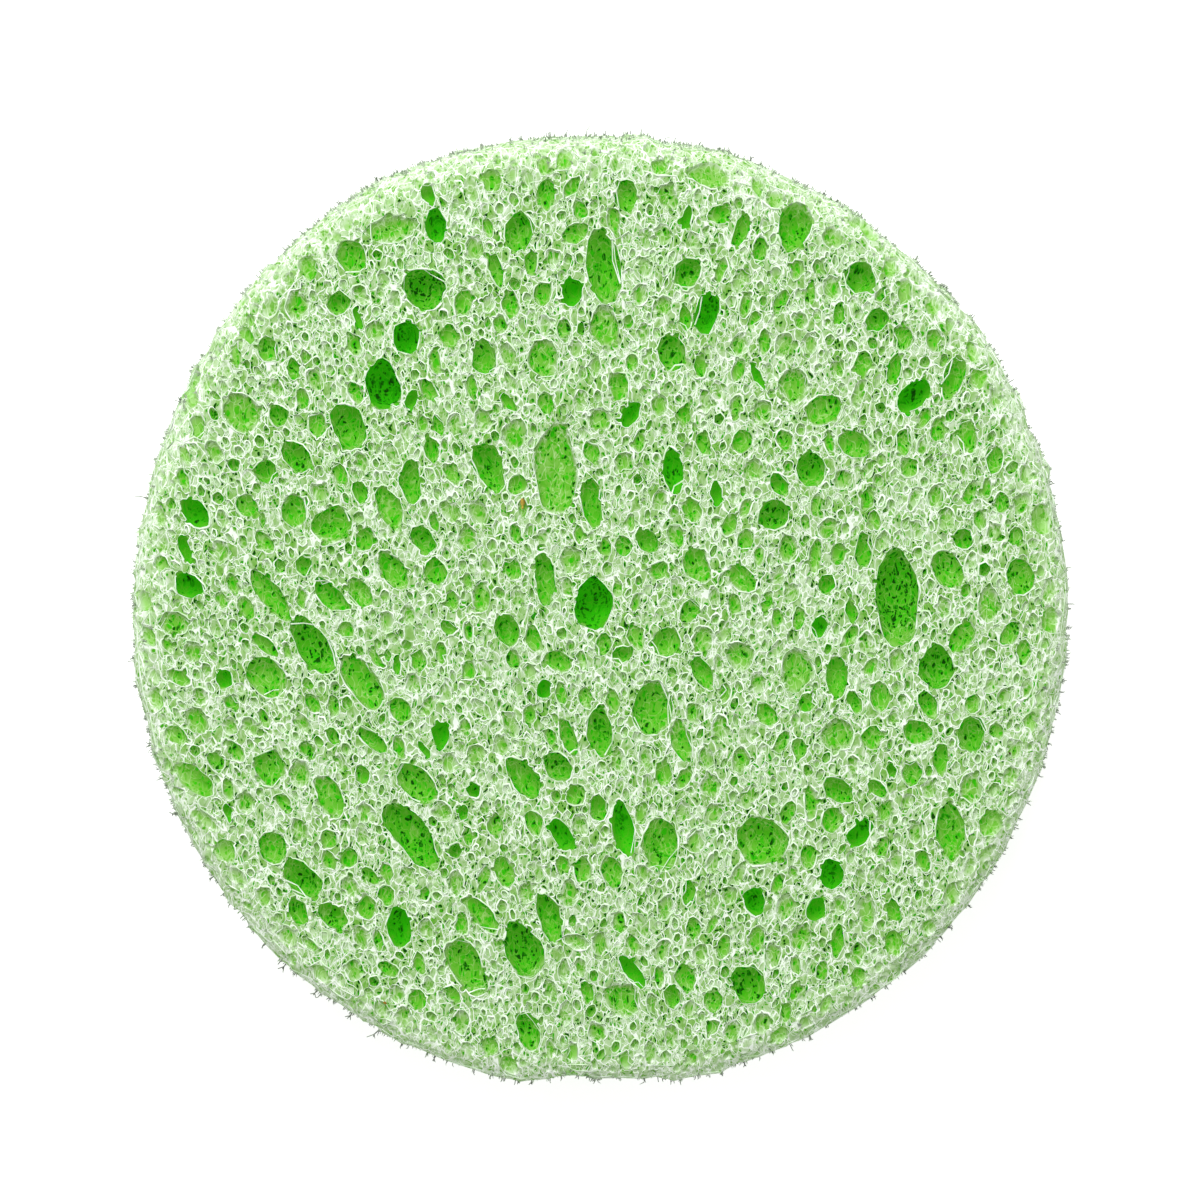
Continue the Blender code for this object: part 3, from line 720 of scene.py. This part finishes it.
def green_at(point, below, frames, tree):
    """The green of the pore whose wall this is: the one whose bubble passes nearest to it."""
    if below <= SKIN_DEPTH:
        return 0.0
    near = [i for _, i, _ in tree.find_n(point, NEIGHBOURS)]
    _, best = min((abs((frames[i][2] @ point).length - 1), i) for i in near)
    pore = frames[best][0]
    # The green deepens with the pore's darkness, its length and the depth under its mouth: painted shade
    # in the pore.
    level = GREENS[pore.dark] * min(1.0, 0.62 + 0.22 * pore.long)
    return level * min(1.0, (below - 0.02) / FADES[pore.dark]) ** 0.7


def mark_pores(mesh):
    frames = list(bubble_frames())
    tree = KDTree(len(frames))
    for index, (_, centre, _) in enumerate(frames):
        tree.insert(centre, index)
    tree.balance()
    for name in MARKS:
        mesh.attributes.new(name, "FLOAT", "POINT")
    marks = [mesh.attributes[name].data for name in MARKS]
    for vert in mesh.vertices:
        point = vert.co / MM
        below = max(0.0, depth_at(point))
        # 1 on the rim, which the finish draws paler and lights with a painted glow.
        worn = max(0.0, min(1.0, 1.2 - edge_gap(point.x, point.y) / PALER_RIM_BAND))
        green = green_at(point, below, frames, tree)
        for mark, value in zip(marks, (below, green, worn)):
            mark[vert.index].value = value
        wander = noise.noise_vector(point * 0.9) + 0.6 * noise.noise_vector(point * 2.3)
        vert.co += (wander * DRIFT + ragged_edge(point)) * MM
        vert.co.z = max(vert.co.z, 0.0)


mark_pores(foam_mesh)
sponge = new_object("foam", foam_mesh)
foam_mesh.shade_smooth()
foam_mesh.set_sharp_from_angle(angle=math.radians(42))
print(f"foam: {len(foam_mesh.vertices)} vertices marked")

# %% [markdown]
# Round each mouth the cut wall shows as a pale thread, torn thinner here and thicker there. The
# mouths are the edges between the skin and the pore walls, so those edges are kept, made into
# curves, and given a thin section whose radius wanders. A white line in the material would lie
# flat, where a real rim stands up and catches the light.

# %% The section of a thread
RIM_THICK = 0.064


def thread_section():
    curve = bpy.data.curves.new("thread_section", "CURVE")
    spline = curve.splines.new("POLY")
    spline.points.add(2)
    for k, point in enumerate(spline.points):
        angle = math.tau * k / 3
        point.co = (RIM_THICK * MM * math.cos(angle), RIM_THICK * MM * math.sin(angle), 0, 1)
    spline.use_cyclic_u = True
    return new_object("thread_section", curve)


print(f"a thread is {2 * RIM_THICK:.2f} mm thick, more or less")

# %% Pale rims of the pores
ON_SKIN = 0.015
FRONT_FROM = THICKNESS * 0.7


def mouth_edges(mesh, wanted):
    """A bmesh with nothing but the wanted edges between the skin and the pore walls."""
    bm = bmesh.new()
    bm.from_mesh(mesh)
    sunk = bm.verts.layers.float["depth"]
    bm.verts.ensure_lookup_table()

    def is_skin(face):
        return all(v[sunk] < ON_SKIN for v in face.verts)

    keep = [
        e
        for e in bm.edges
        if len(e.link_faces) == 2
        and is_skin(e.link_faces[0]) != is_skin(e.link_faces[1])
        and wanted(e.verts[0].co / MM)
    ]
    kept = set(keep)
    bmesh.ops.delete(bm, geom=[e for e in bm.edges if e not in kept], context="EDGES_FACES")
    print(f"{len(kept)} edges round the mouths")
    return bm


def fray(curve):
    """The thread grows thin and thick and strays a little from the mouth."""
    for spline in curve.splines:
        for point in spline.points:
            place = Vector(point.co[:3]) / MM
            share = 0.8 + 1.4 * noise.noise(place * 0.8) + 1.3 * noise.noise(place * 2.6)
            point.radius = max(0.1, min(share, 2.1))
            place += noise.noise_vector(place * 3.1) * 0.07
            place.z = max(place.z, RIM_THICK * point.radius)
            point.co = (*(place * MM), 1)


def mouth_threads(mesh, name, wanted):
    threads = as_object(mouth_edges(mesh, wanted), name, unit=1)
    for other in bpy.context.selected_objects:
        other.select_set(False)
    threads.select_set(True)
    bpy.context.view_layer.objects.active = threads
    bpy.ops.object.convert(target="CURVE")
    curve = threads.data
    curve.bevel_mode = "OBJECT"
    curve.bevel_object = section = thread_section()
    fray(curve)
    bpy.ops.object.convert(target="MESH")
    bpy.data.objects.remove(section)
    threads.data.shade_smooth()
    threads.data.calc_loop_triangles()
    print(f"{name}: {len(threads.data.loop_triangles)} triangles")
    return threads


front_rims = mouth_threads(foam_mesh, "front_cell_rims", lambda p: p.z > FRONT_FROM)
back_rims = mouth_threads(foam_mesh, "back_cell_rims", lambda p: p.z <= FRONT_FROM)

# %% [markdown]
# Torn cellulose also stands free: strands that are left of a thin wall across a pore, and fuzz and
# shreds round the rim, where the die crushed the cells. Each is a curve of three points with the
# same section as the rims. A hair system could do the fuzz, but it isn't a mesh that can be kept.

# %% A bundle of fibres
def fibre_object(name, fibres):
    """fibres holds lists of (place in millimetres, thickness as a share of a thread's)."""
    curve = bpy.data.curves.new(name, "CURVE")
    curve.dimensions = "3D"
    curve.bevel_mode = "OBJECT"
    curve.bevel_object = thread_section()
    curve.use_fill_caps = True
    for fibre in fibres:
        spline = curve.splines.new("POLY")
        spline.points.add(len(fibre) - 1)
        for point, (place, share) in zip(spline.points, fibre):
            point.co = (*(place * MM), 1)
            point.radius = share
    mesh = finished_mesh(new_object(name, curve))
    bpy.data.objects.remove(curve.bevel_object)
    mesh.shade_smooth()
    print(f"{name}: {len(fibres)} fibres, {len(mesh.loop_triangles)} triangles")
    return new_object(name, mesh)


# %% Strands across the pores
SPANNED_FROM = 1.6


def strands_across(pores, chance):
    fibres = []
    for pore in pores:
        if pore.long < SPANNED_FROM or chance.random() < 0.35:
            continue
        for _ in range(chance.choice((1, 1, 2, 3))):
            turn = chance.uniform(0, math.tau)
            span = chance.uniform(0.5, 1.5)
            ends = [Vector((*mouth(pore, turn + k * span, 0.05), 0)) for k in (0, 1)]
            middle = (ends[0] + ends[1]) / 2 + Vector((chance.gauss(0, 0.15), chance.gauss(0, 0.15), 0))
            level = THICKNESS - skin_drop(middle.x, middle.y)
            sag = chance.uniform(0.15, 0.6) * pore.wide * 0.4
            top = [Vector((p.x, p.y, level - chance.uniform(0.02, 0.25))) for p in ends]
            low_point = Vector((middle.x, middle.y, level - sag))
            share = chance.uniform(0.4, 1.2)
            fibres.append([(top[0], share * 1.5), (low_point, share), (top[1], share * 1.4)])
    return fibres


chance = random.Random(23)
strands = fibre_object("torn_strands", strands_across(front, chance))

# %% Fuzz round the rim
def rim_places(mesh):
    """Points of the rim's skin, each with the way out from it, taken from the finished foam."""
    sunk = mesh.attributes["depth"].data
    places = []
    for vert in mesh.vertices:
        place = vert.co / MM
        near_edge = edge_gap(place.x, place.y) < 2.0 and 0.5 < place.z
        if near_edge and sunk[vert.index].value < 0.02 and abs(vert.normal.z) < 0.6:
            places.append((place, (vert.normal + outwards(place) * 0.6).normalized()))
    return sorted(places, key=lambda p: p[0][:])


def stray(chance, size):
    return Vector((chance.gauss(0, size), chance.gauss(0, size), chance.gauss(0, size)))


def rim_fuzz(places, count, chance):
    fibres = []
    for _ in range(count):
        place, away = chance.choice(places)
        place = place + stray(chance, 0.06)
        length = chance.uniform(0.12, 0.4)
        bend = place + (away + stray(chance, 0.5)).normalized() * length * 0.55
        tip = bend + (away + stray(chance, 0.8)).normalized() * length * 0.45
        if 0.05 < tip.z < THICKNESS + 0.15:
            share = chance.uniform(0.4, 0.9)
            fibres.append([(place - away * 0.1, share), (bend, share * 0.9), (tip, share * 0.4)])
    return fibres


edge = rim_places(foam_mesh)
print(f"rim: {len(edge)} places for fuzz")
fuzz = fibre_object("rim_fuzz", rim_fuzz(edge, 9000, chance))

# %% [markdown]
# In the photograph a few torn shreds stand out from the outline, most of them at the lower left,
# and single hairs at the top and the left. These are listed as an angle in degrees from +X and a
# length. Short spikes at random, two to a degree, make the rest of the outline ragged.

# %% Shreds along the outline
SHREDS = [
    (223.4, 0.6), (228.0, 0.75), (233.1, 0.6), (235.1, 0.75), (238.1, 0.6), (241.6, 0.8), (250.5, 0.5),
    (214.0, 0.4), (205.0, 0.4), (262.0, 0.35), (288.0, 0.4), (296.0, 0.35), (318.0, 0.35), (341.0, 0.3),
    (8.0, 0.35), (27.0, 0.4), (48.0, 0.4), (71.0, 0.35), (118.0, 0.4), (139.0, 0.4), (171.0, 0.4),
]
HAIRS = [(91.5, 1.1), (94.5, 0.55), (166.0, 1.1), (77.5, 0.4)]


def rim_outline(places):
    """For each degree round the rim, the point that stands out furthest when seen a little tilted."""
    furthest = {}
    for place, _ in places:
        angle = math.atan2(place.y, place.x)
        reach = math.hypot(place.x, place.y) - 0.12 * math.sin(angle) * place.z
        degree = round(math.degrees(angle)) % 360
        if degree not in furthest or reach > furthest[degree][0]:
            furthest[degree] = (reach, place)
    return {degree: place for degree, (_, place) in furthest.items()}


def rim_shreds(outline, chance):
    """Forked shreds, single hairs and short spikes that stand out round the edge."""
    fibres = []
    for degrees, length in SHREDS:
        place = outline[round(degrees) % 360]
        out = outwards(place)
        side = Vector((-out.y, out.x, 0))
        fork = place + (out + side * chance.gauss(0, 0.3)) * length * 0.65
        for turn in (-0.9, 0.1, 0.8):
            tip = fork + (out + side * (turn + chance.gauss(0, 0.25))) * length * chance.uniform(0.3, 0.7)
            fibres.append([(place - out * 0.25, 1.3), (fork, 1.0), (tip, 0.6)])
    spikes = [(degrees, chance.uniform(0.12, 0.4)) for degrees in outline for _ in (0, 1)]
    for degrees, length in HAIRS + spikes:
        place = outline[round(degrees) % 360] + stray(chance, 0.12)
        out = outwards(place)
        side = Vector((-out.y, out.x, 0)) * chance.gauss(0, 0.45)
        bend = place + (out + side * 0.3) * length * 0.6
        fibres.append([(place - out * 0.25, 0.8), (bend, 0.7), (place + (out + side) * length, 0.4)])
    return fibres


shreds = fibre_object("rim_shreds", rim_shreds(rim_outline(edge), chance))

# %% [markdown]
# A few flecks of bark came in with the pulp and stayed in the face: one brown sliver above the
# middle, smaller ones at the lower left and the foot, and a nearly black one at the right. Each is
# its centre, its length, how it leans from upright, and its thickness.

# %% Flecks of bark
BROWN = [(-6.62, 9.9, 0.6, 4, 4.6), (-6.6, 9.45, 0.3, -15, 2.4), (-18.5, -33.4, 0.3, 60, 2.2)]
BLACK = [(35.0, -11.7, 0.26, 30, 1.9)]


def flecks(slivers):
    fibres = []
    for x, y, length, lean, share in slivers:
        along = Matrix.Rotation(math.radians(lean), 3, "Z") @ Vector((0, length / 2, 0))
        middle = Vector((x, y, THICKNESS - skin_drop(x, y) + 0.04))
        ends = [(middle - along, share * 0.6), (middle, share), (middle + along, share * 0.5)]
        fibres.append(ends)
    return fibres


brown = fibre_object("brown_flecks", flecks(BROWN))
black = fibre_object("black_flecks", flecks(BLACK))

# %% [markdown]
# A shader is a net of nodes. Placing them one by one hides the sums behind them, so a small class
# wraps an output socket as a wire, and adding or multiplying wires places the Math nodes.

# %% A wire for shader sums
class Wire:
    """An output socket of a material; sums on it add Math nodes."""

    def __init__(self, tree, socket=None):
        self.tree = tree
        self.socket = socket

    def node(self, kind, settings=None, inputs=None, out=0):
        made = self.tree.nodes.new(kind)
        for name, value in (settings or {}).items():
            if name == "stops":
                set_stops(made.color_ramp, value)
            else:
                setattr(made, name, value)
        for name, value in (inputs or {}).items():
            if isinstance(value, Wire):
                self.tree.links.new(value.socket, made.inputs[name])
            else:
                made.inputs[name].default_value = value
        return Wire(self.tree, made.outputs[out])

    def output(self, name):
        """Another output of the node that this wire comes from."""
        return Wire(self.tree, self.socket.node.outputs[name])

    def math(self, operation, *values):
        return self.node("ShaderNodeMath", {"operation": operation}, dict(enumerate(values)))

    def __add__(self, other):
        return self.math("ADD", self, other)

    def __radd__(self, other):
        return self.math("ADD", other, self)

    def __sub__(self, other):
        return self.math("SUBTRACT", self, other)

    def __rsub__(self, other):
        return self.math("SUBTRACT", other, self)

    def __mul__(self, other):
        return self.math("MULTIPLY", self, other)

    def __rmul__(self, other):
        return self.math("MULTIPLY", other, self)

    def ramp(self, start, end):
        """0 at start, 1 at end, smooth between."""
        settings = {"interpolation_type": "SMOOTHSTEP"}
        inputs = {"Value": self, "From Min": start, "From Max": end}
        return self.node("ShaderNodeMapRange", settings, inputs)

    def mix(self, first, second):
        """Two colours mixed by this wire as the share of the second."""
        return self.node("ShaderNodeMix", {"data_type": "RGBA"}, {0: self, 6: first, 7: second}, 2)

    def feed(self, shader, name):
        self.tree.links.new(self.socket, shader.inputs[name])


def set_stops(band, stops):
    while len(band.elements) < len(stops):
        band.elements.new(1.0)
    for element, (place, colour) in zip(band.elements, stops):
        element.position = place
        element.color = colour


def srgb(red, green, blue):
    """A screen colour, 0 to 255, as the linear colour that a shader takes."""
    parts = [c / 255 for c in (red, green, blue)]
    return (*(c / 12.92 if c <= 0.04045 else ((c + 0.055) / 1.055) ** 2.4 for c in parts), 1.0)


# %% A new material
def new_material(name, values):
    """A material with constant values on its shader, a wire to start from, and the shader."""
    material = bpy.data.materials.new(name)
    material.use_nodes = True
    shader = material.node_tree.nodes["Principled BSDF"]
    for socket, value in values.items():
        shader.inputs[socket].default_value = value
    return material, Wire(material.node_tree), shader


# %% [markdown]
# The skin between the pores is itself foam, with cells of a quarter to one millimetre: pale walls
# between small green pits. Cutting these would take millions of triangles, so three nets of Voronoi
# cells draw them, bent by noise and drawn out along the grain. The small net also makes the bump.
# All this works out one tone, from 0 for a white rim to 1 for a dark pit, and a ramp colours it. The pits
# and the middles of the large cells are drawn darker, painted shade of hollows too small to cut.

# %% Tones of the cellulose
TONES = [
    (0.00, srgb(240, 249, 237)),
    (0.12, srgb(210, 228, 200)),
    (0.25, srgb(181, 208, 162)),
    (0.40, srgb(154, 193, 126)),
    (0.55, srgb(127, 176, 87)),
    (0.70, srgb(98, 164, 50)),
    (0.82, srgb(72, 160, 24)),
    (0.92, srgb(41, 167, 6)),
    (1.00, srgb(18, 66, 8)),
]


# %% Nets of cells
GRAIN_TURN = 0.21
GRAIN_SCALE = (1.2 / MM, 0.8 / MM, 1 / MM)


def grain_coordinates(wires):
    """Millimetres squeezed across the grain, plain and bent."""
    place = wires.node("ShaderNodeTexCoord", out="Object")
    inputs = {"Vector": place, "Rotation": (0, 0, -GRAIN_TURN), "Scale": GRAIN_SCALE}
    upright = wires.node("ShaderNodeMapping", {"vector_type": "POINT"}, inputs)
    bend = wires.node("ShaderNodeTexNoise", None, {"Vector": upright, "Scale": 1.1, "Detail": 1.0}, 1)
    shift = wires.node(
        "ShaderNodeVectorMath", {"operation": "MULTIPLY_ADD"}, {0: bend, 1: (0.9,) * 3, 2: upright}
    )
    return upright, shift


def net(wires, place, scale):
    """A net of cells: how far from a wall, a random colour for each cell, how far from its middle."""
    inputs = {"Vector": place, "Scale": scale}
    middle = wires.node("ShaderNodeTexVoronoi", {"feature": "F1"}, inputs, "Distance")
    second = wires.node("ShaderNodeTexVoronoi", {"feature": "F2"}, inputs, "Distance")
    chance = wires.node("ShaderNodeSeparateColor", None, {0: middle.output("Color")})
    return second - middle, chance, middle


# %% [markdown]
# On the skin the tone comes from the nets, and inside a pore from the marks on the mesh, which darken the
# pores with depth as painted shade. Light passes through the thin walls of a real sponge and makes its
# pores glow. Tracing that would take hours, so deep pores give off a little of their own colour instead,
# a painted glow, and the rim glows a little too, painted light that lifts its shade. The glow isn't
# sampled as a lamp, which would double the time of a render.

# %% The cellulose
def skin_tone(large, large_chance, small_chance, tiny_chance, pits, patch, walls):
    cell = 0.17 + large_chance * 0.14 + small_chance * 0.16 + tiny_chance * 0.2
    # Pits and the middles of the large cells are darker: painted shade in hollows too small to cut.
    cell = cell + pits * 0.55 + (patch - 0.5) * 0.4 + large.ramp(0.05, 0.5) * 0.12
    return cell * (1 - walls) + walls * 0.02


def read_mark(wires, name):
    return wires.node("ShaderNodeAttribute", {"attribute_name": name}, out="Fac")


def cellulose():
    plain = {"Roughness": 0.95, "Specular IOR Level": 0.05, "Emission Strength": 1.0}
    material, wires, shader = new_material("green_cellulose", plain)
    upright, bent = grain_coordinates(wires)
    large, large_chance, _ = net(wires, bent, 1.0)
    small, small_chance, small_middle = net(wires, bent, 2.0)
    tiny, tiny_chance, tiny_middle = net(wires, bent, 3.6)
    patch = wires.node("ShaderNodeTexNoise", None, {"Vector": upright, "Scale": 0.45, "Detail": 0.0})
    torn = wires.node("ShaderNodeTexNoise", None, {"Vector": bent, "Scale": 1.7, "Detail": 2.0})

    lace = 1 - large_chance.output(2).ramp(0.52, 0.6) * 0.85
    large_line = (large - torn * 0.06).ramp(0.035, 0.0)
    small_line = (small - torn * 0.06).ramp(0.045, 0.0) * lace
    tiny_line = (tiny - torn * 0.07).ramp(0.06, 0.0) * torn.ramp(0.42, 0.62) * lace
    walls = wires.math("MAXIMUM", large_line, small_line * 0.9)
    walls = wires.math("MAXIMUM", walls, tiny_line * 0.72)
    pits = tiny_middle.ramp(0.55, 0.4) * tiny_chance.output(1).ramp(0.58, 0.64)
    pores = small_middle.ramp(0.54, 0.42) * small_chance.output(1).ramp(0.5, 0.56)
    skin = skin_tone(large, large_chance, small_chance, tiny_chance, pits, patch, walls)

    depth, green, worn = (read_mark(wires, name) for name in MARKS)
    shallow = green.ramp(1.05, 0.75)
    grain = (torn - 0.5) * 0.4 + (small_chance - 0.5) * 0.14 + pits * 0.22 + pores * 0.22
    # Inside a pore the tone darkens with its green mark and with depth: painted shade in the pores.
    wall = 0.06 + green * 0.8 + depth.ramp(0.5, 2.5) * 0.1
    wall = wall + (grain - large_line * 0.22 - tiny_line * 0.22) * shallow
    inside = (depth + (torn - 0.5) * 0.4 - walls * 0.1).ramp(0.0, 0.12)
    tone = (skin * (1 - inside) + wall * inside) * (1 - worn * 0.35)
    colour = wires.node("ShaderNodeValToRGB", {"stops": TONES}, {"Fac": tone})
    # The emission is painted light: deep pores glow for the light through their walls, and the rim glows
    # a little to lift its shade.
    through = (green.ramp(0.4, 1.0) * 0.42 + worn * 0.1).mix((0, 0, 0, 1), colour)
    colour.feed(shader, "Base Color")
    through.feed(shader, "Emission Color")
    relief = {"Height": small_middle, "Strength": 0.6, "Distance": 0.1 * MM}
    wires.node("ShaderNodeBump", {"invert": True}, relief).feed(shader, "Normal")
    material.cycles.emission_sampling = "NONE"
    print(f"{material.name}: {len(material.node_tree.nodes)} nodes")
    return material


foam_mesh.materials.clear()
foam_mesh.materials.append(cellulose())


# %% [markdown]
# The threads are too thin for cells, so each kind only wanders between two colours: nearly white for the
# torn rims and strands, and duller for the fuzz and shreds, which are seen against white. The shreds'
# dark grey is painted shade, and the rims, strands and fuzz glow a little, a painted light that lifts
# their shaded sides.

# %% The threads
def thread_material(name, first, second, glow=0.0):
    plain = {"Roughness": 0.85, "Emission Strength": glow}
    material, wires, shader = new_material(name, plain)
    place = wires.node("ShaderNodeTexCoord", out="Object")
    tone = wires.node("ShaderNodeTexNoise", None, {"Vector": place, "Scale": 900.0, "Detail": 2.0})
    colour = tone.ramp(0.35, 0.65).mix(first, second)
    colour.feed(shader, "Base Color")
    colour.feed(shader, "Emission Color")
    material.cycles.emission_sampling = "NONE"
    print(f"{name}: {len(material.node_tree.nodes)} nodes")
    return material


pale = thread_material("pale_cell_walls", srgb(196, 226, 180), srgb(234, 246, 230), 0.14)
dull_fuzz = thread_material("dull_glowing_fuzz", srgb(124, 138, 118), srgb(190, 206, 180), 0.1)
shaded = thread_material("shadow_grey_shreds", srgb(104, 112, 100), srgb(152, 160, 146))
brown_bark = thread_material("brown_bark", srgb(140, 104, 14), srgb(204, 178, 66))
dark_bark = thread_material("dark_bark", srgb(40, 26, 6), srgb(74, 60, 30))

# %% [markdown]
# The foam takes the place of the plain packed disc, and the threads, fuzz, shreds and flecks move with
# it.

# %% Put the sponge together
THREADS = [(front_rims, pale), (back_rims, pale), (strands, pale), (fuzz, dull_fuzz), (shreds, shaded)]
FLECKS = [(brown, brown_bark), (black, dark_bark)]
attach(sponge, "root")
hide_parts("sponge")
for piece, material in THREADS + FLECKS:
    piece.data.materials.append(material)
    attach(piece, "root")
print(f"{len(THREADS) + len(FLECKS)} pieces ride with the foam")

# %% [markdown]
# The photograph is white all round. A large white floor keeps the soft shadow, and because paper
# would come out grey, it glows, but only where the camera or a reflection sees it.

# %% Floor
FLOOR_SIZE = 3.0
FLOOR_GLOW = 0.6


def make_floor():
    bm = bmesh.new()
    bmesh.ops.create_grid(bm, x_segments=1, y_segments=1, size=FLOOR_SIZE)
    floor = as_object(bm, "floor", unit=1)
    white, paper = (1, 1, 1, 1), (0.82, 0.82, 0.82, 1)
    plain = {"Base Color": paper, "Roughness": 1.0, "Specular IOR Level": 0.0, "Emission Color": white}
    material, wires, shader = new_material("white_paper", plain)
    seen = wires.node("ShaderNodeLightPath", out="Is Camera Ray")
    rays = seen + seen.output("Is Glossy Ray") + seen.output("Is Transmission Ray")
    (rays * FLOOR_GLOW).feed(shader, "Emission Strength")
    floor.data.materials.append(material)
    floor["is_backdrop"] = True
    print(f"floor: {2 * FLOOR_SIZE:.0f} m wide")


make_floor()

# %% [markdown]
# A round area light stands for the window, high and a little to the left, and the world for the
# room's white walls. A sun would draw hard shadows. Their ratio sets how deep the pores look.

# %% Light
WINDOW = Vector((-0.12, 0.5, 0.5))
WINDOW_SIZE = 0.5
WINDOW_WATTS = 4.5
ROOM_LIGHT = 0.58
lamp = bpy.data.lights.new("window", "AREA")
lamp.shape = "DISK"
lamp.size = WINDOW_SIZE
lamp.energy = WINDOW_WATTS
window = new_object("window", lamp)
window.location = WINDOW
window.rotation_euler = (-WINDOW).to_track_quat("-Z", "Y").to_euler()
world = bpy.data.worlds.new("room")
bpy.context.scene.world = world
world.use_nodes = True
background = world.node_tree.nodes["Background"]
background.inputs["Color"].default_value = (1, 1, 1, 1)
background.inputs["Strength"].default_value = ROOM_LIGHT
print(f"window {WINDOW.length:.2f} m away")

# %% [markdown]
# The camera looks down with a slight tilt, which shows a little of the rim at the top, as in the
# photograph. A long lens keeps the disc round.

# %% Camera
TILT = math.radians(7.0)
DISTANCE = 0.45
FRAME_WIDTH = 0.1022
SENSOR = 36.0
aim = Vector((0, 0.0015, THICKNESS * MM))
camera = new_object("camera", bpy.data.cameras.new("camera"))
camera.data.lens = SENSOR * DISTANCE / FRAME_WIDTH
camera.data.clip_start = 0.01
camera.location = aim + DISTANCE * Vector((0, math.sin(TILT), math.cos(TILT)))
camera.rotation_euler = (-TILT, 0, 0)
bpy.context.scene.camera = camera
bpy.context.scene.view_settings.view_transform = "Standard"
print(f"lens {camera.data.lens:.0f} mm")

# %% [markdown]
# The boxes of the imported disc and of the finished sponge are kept, to show that they agree.

# %% Sizes and finish
finished_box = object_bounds()
past = max(abs(f[k]) - abs(c[k]) for f, c in zip(finished_box, cad_box) for k in range(3))
print(f"past the packed box by {past / MM:.1f} mm at most")
